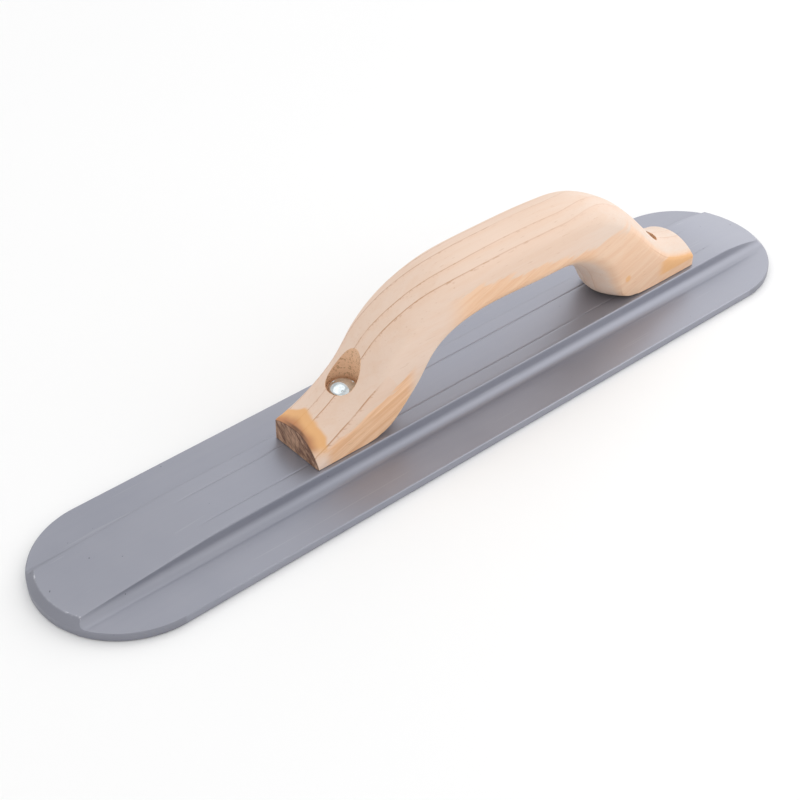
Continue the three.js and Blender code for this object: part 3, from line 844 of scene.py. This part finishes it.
def pine_material():
    """Pale pine: upright growth rings with thin brown lines, short resin flecks beside
    them, tan flat-sawn wood low on the near side and orange stain at the cut ends."""
    n = Nodes("pine")
    at = n.coordinates()
    x, y, z = n.split(at)
    rings = ring_number(n, at, x, y, z)
    part = n.math("FRACT", rings)
    line = late_wood(n, rings, 0.10)
    fade = n.ramp(n.noise(n.mapping(at, scale=(28, 160, 160)), 1.0, 2.0, 0.5), 0.30, 0.58, 0.35, 1.0)
    line = n.math("MULTIPLY", line, fade)
    line = n.math("MULTIPLY", line, n.ramp(x, -35 * MM, 45 * MM, 1.0, 0.35))
    normal_x, normal_y, _ = n.split(n.normal())
    # the rings stand along the side faces, so their lines fade out on them
    crossing = n.ramp(n.math("ABSOLUTE", normal_y), 0.97, 0.82)
    line = n.math("MULTIPLY", line, crossing)
    fibre = n.noise(n.mapping(at, scale=(55, 1500, 1500)), 1.0, 4.0, 0.6)
    cloud = n.noise(n.mapping(at, scale=(14, 30, 30)), 1.0, 3.0, 0.55)
    wood = n.mix(cloud, (0.830, 0.655, 0.545), (0.790, 0.590, 0.460))
    wood = n.mix(n.ramp(x, 55 * MM, 120 * MM, 0.0, 0.60), wood, (0.735, 0.635, 0.560))
    wood = n.mix(n.ramp(part, 0.25, 0.97, 0.0, 0.28), wood, (0.80, 0.540, 0.390))
    figure = n.noise(n.mapping(at, scale=(20, 260, 260)), 1.0, 4.0, 0.6, 0.5)
    wood = n.mix(n.ramp(figure, 0.42, 0.66, 0.0, 0.30), wood, (0.77, 0.525, 0.370))
    foot, light = flat_sawn(n, at, x, y, z)
    waves = n.noise(n.turned(at, TAN_ROTATION, (26, 60, 420)), 1.0, 4.0, 0.6, 0.4)
    tan = n.mix(n.ramp(waves, 0.36, 0.64), (0.93, 0.600, 0.370), (0.78, 0.430, 0.220))
    wood = n.mix(n.math("MULTIPLY", foot, 0.92), wood, tan)
    line = n.math("MULTIPLY", line, n.math("SUBTRACT", 1.0, n.math("MULTIPLY", foot, 0.8)))
    orange_light = n.mix(n.ramp(waves, 0.35, 0.65), (0.89, 0.585, 0.375), (0.83, 0.480, 0.265))
    wood = n.mix(light, wood, orange_light)
    wood = n.mix(n.math("MULTIPLY", line, 0.90), wood, (0.50, 0.245, 0.125))
    specks = n.noise(n.mapping(at, scale=(240, 1300, 1300)), 1.0, 2.0, 0.5)
    beside = n.math("MULTIPLY", n.ramp(part, 0.76, 0.93), n.ramp(part, 1.0, 0.985))
    beside = n.math("MULTIPLY", beside, crossing)
    beside = n.math("MULTIPLY", beside, n.ramp(x, 0.0, 60 * MM, 1.0, 0.3))
    fleck = n.math("MULTIPLY", n.ramp(specks, 0.56, 0.64), n.math("ADD", beside, 0.04))
    wood = n.mix(n.math("MULTIPLY", fleck, 0.60), wood, (0.52, 0.28, 0.15))
    dashes = n.ramp(n.noise(n.mapping(at, scale=(170, 1700, 1700)), 1.0, 1.0, 0.5), 0.70, 0.76)
    wood = n.mix(n.math("MULTIPLY", dashes, 0.32), wood, (0.55, 0.30, 0.16))
    wood = n.mix(n.ramp(fibre, 0.35, 0.75, 0.0, 0.16), wood, (0.76, 0.53, 0.39))
    stain, scorch = resin_stain(n, at, x, y, z)
    orange = n.mix(n.math("MULTIPLY", scorch, 0.90), (0.82, 0.430, 0.155), (0.46, 0.160, 0.045))
    wood = n.mix(n.math("MULTIPLY", stain, 0.88), wood, orange)
    # the sawn end faces, with a scorched line round their edge
    facing = n.math("ABSOLUTE", normal_x)
    to_end = n.math("MINIMUM", n.math("SUBTRACT", x, HANDLE_LOW.x),
                    n.math("SUBTRACT", HANDLE_HIGH.x, x))
    at_end = n.ramp(to_end, 1.8 * MM, 0.8 * MM)
    sawn = n.math("MULTIPLY", n.ramp(facing, 0.45, 0.70), at_end)
    end_color, torn = end_grain(n, at, rings)
    end_color = n.mix(n.ramp(facing, 0.995, 0.90, 0.0, 0.8), end_color, (0.10, 0.045, 0.028))
    wood = n.mix(sawn, wood, end_color)
    wood = n.mix(bore_mask(n, x, y), wood, bored_color(n, at))
    n.link(wood, n.shader.inputs["Base Color"])
    n.link(n.ramp(fibre, 0.2, 0.8, 0.52, 0.64), n.shader.inputs["Roughness"])
    n.shader.inputs["Coat Weight"].default_value = 0.08
    n.shader.inputs["Coat Roughness"].default_value = 0.35
    height = n.math("ADD", n.math("MULTIPLY", fibre, 0.35), n.math("MULTIPLY", line, -0.6))
    height = n.math("ADD", height, n.math("MULTIPLY", n.math("MULTIPLY", sawn, torn), 3.0))
    n.bump(height, 0.30, 0.00015)
    return n.material


def bore_mask(n, x, y):
    """1 inside either counterbore, just past its wall."""
    mask = None
    for node in SCREWS:
        low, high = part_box(node)
        dx = n.math("SUBTRACT", x, (low.x + high.x) / 2)
        distance = n.math("SQRT", n.math("ADD", n.math("MULTIPLY", dx, dx), n.math("MULTIPLY", y, y)))
        one = n.ramp(distance, COUNTERBORE_RADIUS + 0.25 * MM, COUNTERBORE_RADIUS + 0.03 * MM)
        mask = one if mask is None else n.math("MAXIMUM", mask, one)
    return mask


def bored_color(n, at):
    """Cross-cut fibres on a bored wall: tan with many small dark pores."""
    pores = n.ramp(n.noise(n.mapping(at, scale=(900, 1100, 1300)), 1.0, 1.5, 0.6), 0.54, 0.62)
    tone = n.noise(n.mapping(at, scale=(60, 60, 160)), 1.0, 3.0, 0.6)
    color = n.mix(tone, (0.74, 0.450, 0.265), (0.92, 0.620, 0.410))
    return n.mix(n.math("MULTIPLY", pores, 0.55), color, (0.36, 0.19, 0.09))


def plated_material():
    """Bright zinc plating with a faint blue-grey smear."""
    n = Nodes("plated_steel")
    at = n.coordinates()
    smear = n.noise(at, 420.0, 3.0, 0.5)
    base = n.mix(n.ramp(smear, 0.35, 0.7), (0.66, 0.72, 0.745), (0.80, 0.85, 0.865))
    n.link(base, n.shader.inputs["Base Color"])
    n.shader.inputs["Metallic"].default_value = 0.90
    n.link(n.ramp(smear, 0.3, 0.7, 0.10, 0.16), n.shader.inputs["Roughness"])
    n.bump(n.noise(at, 900.0, 2.0, 0.5), 0.12, 0.00005)
    return n.material


def floor_material():
    """Matt and nearly white."""
    n = Nodes("studio_floor")
    at = n.coordinates()
    tone = n.noise(at, 6.0, 2.0, 0.5)
    n.link(n.mix(tone, (0.930, 0.930, 0.930), (0.945, 0.945, 0.945)), n.shader.inputs["Base Color"])
    n.shader.inputs["Roughness"].default_value = 0.9
    return n.material


# ---- studio ----
BRIGHT_SIDE = (20, 26)  # azimuth and elevation, degrees
BRIGHT_FROM = 0.74  # the cosine of the angle from it at which the sky begins to brighten
WORLD_STRENGTH = (0.67, 1.90)
# soft suns: azimuth and elevation of each, how wide it is in degrees, and its strength
SUNS = {"front_window": ((-60, 38), 70, 0.22), "overhead": ((125, 68), 60, 0.48),
        "camera_fill": ((-150, 20), 60, 0.24)}
SOFT_BOX_AT, SOFT_BOX_AIM = (0.55, -0.38, 0.28), (0.15, 0.0, 0.0)
SOFT_BOX_SIZE, SOFT_BOX_POWER = 0.6, 1.1
FLOOR_SIZE, FLOOR_GAP = 40.0, 0.2 * MM
SENSOR_WIDTH, LENS = 36, 77.15
CAMERA_AT, CAMERA_AIM = (-0.4018, -0.4328, 0.4742), (-0.0140, 0.0096, 0)
CAMERA_ROLL = math.radians(0.33)


def build_floor():
    corners = [(x * FLOOR_SIZE, y * FLOOR_SIZE, 0) for x, y in ((-1, -1), (1, -1), (1, 1), (-1, 1))]
    floor = mesh_object("studio_floor", corners, [[0, 1, 2, 3]])
    floor.location.z = -FLOOR_GAP
    floor.data.materials.append(floor_material())


def direction(azimuth, elevation):
    """Unit vector towards an azimuth, counted from +X, and an elevation, both in degrees."""
    a, e = math.radians(azimuth), math.radians(elevation)
    return Vector((math.cos(a) * math.cos(e), math.sin(a) * math.cos(e), math.sin(e)))


def build_world():
    """A white studio that grows brighter towards the far end of the blade."""
    world = bpy.data.worlds.new("studio")
    world.use_nodes = True
    tree = world.node_tree
    background = tree.nodes["Background"]
    towards = tree.nodes.new("ShaderNodeVectorMath")
    towards.operation = "DOT_PRODUCT"
    tree.links.new(tree.nodes.new("ShaderNodeTexCoord").outputs["Generated"], towards.inputs[0])
    towards.inputs[1].default_value = direction(*BRIGHT_SIDE)
    grow = tree.nodes.new("ShaderNodeMapRange")
    grow.interpolation_type = "SMOOTHSTEP"
    tree.links.new(towards.outputs["Value"], grow.inputs["Value"])
    grow.inputs["From Min"].default_value = BRIGHT_FROM
    grow.inputs["From Max"].default_value = 1.0
    grow.inputs["To Min"].default_value, grow.inputs["To Max"].default_value = WORLD_STRENGTH
    tree.links.new(grow.outputs["Result"], background.inputs["Strength"])
    background.inputs["Color"].default_value = (1, 1, 1, 1)
    bpy.context.scene.world = world


def add_light(name, kind, away, strength):
    """A light that shines against away, the direction from what it lights to the light."""
    data = bpy.data.lights.new(name, kind)
    data.energy = strength
    lamp = bpy.data.objects.new(name, data)
    lamp.rotation_euler = away.to_track_quat("Z", "Y").to_euler()
    bpy.context.scene.collection.objects.link(lamp)
    return lamp


def build_light():
    build_world()
    for name, (side, width, strength) in SUNS.items():
        sun = add_light(name, "SUN", direction(*side), strength)
        sun.data.angle = math.radians(width)
    away = Vector(SOFT_BOX_AT) - Vector(SOFT_BOX_AIM)
    soft_box = add_light("soft_box", "AREA", away, SOFT_BOX_POWER)
    soft_box.data.size = SOFT_BOX_SIZE
    soft_box.location = SOFT_BOX_AT


def build_camera():
    data = bpy.data.cameras.new("camera")
    data.sensor_width = SENSOR_WIDTH
    data.lens = LENS
    camera = bpy.data.objects.new("camera", data)
    bpy.context.scene.collection.objects.link(camera)
    camera.location = CAMERA_AT
    look = Vector(CAMERA_AIM) - Vector(CAMERA_AT)
    camera.rotation_euler = (look.to_track_quat("-Z", "Y").to_matrix().to_4x4()
                             @ Matrix.Rotation(CAMERA_ROLL, 4, "Z")).to_euler()
    bpy.context.scene.camera = camera


# ---- assembly ----
def place(piece, node, material):
    """Give a piece its material, put it under the root body and hide the part of the frame it replaces."""
    piece.data.materials.clear()
    piece.data.materials.append(material)
    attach(piece, "root")
    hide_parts(node)


build_camera()
place(build_blade(), "blade", magnesium_material())
place(build_handle(), "handle", pine_material())
plating = plated_material()
for screw_node, bore_floor in SCREWS.items():
    place(build_screw(screw_node, bore_floor), screw_node, plating)
build_floor()
build_light()
bpy.context.scene.view_settings.view_transform = "Standard"
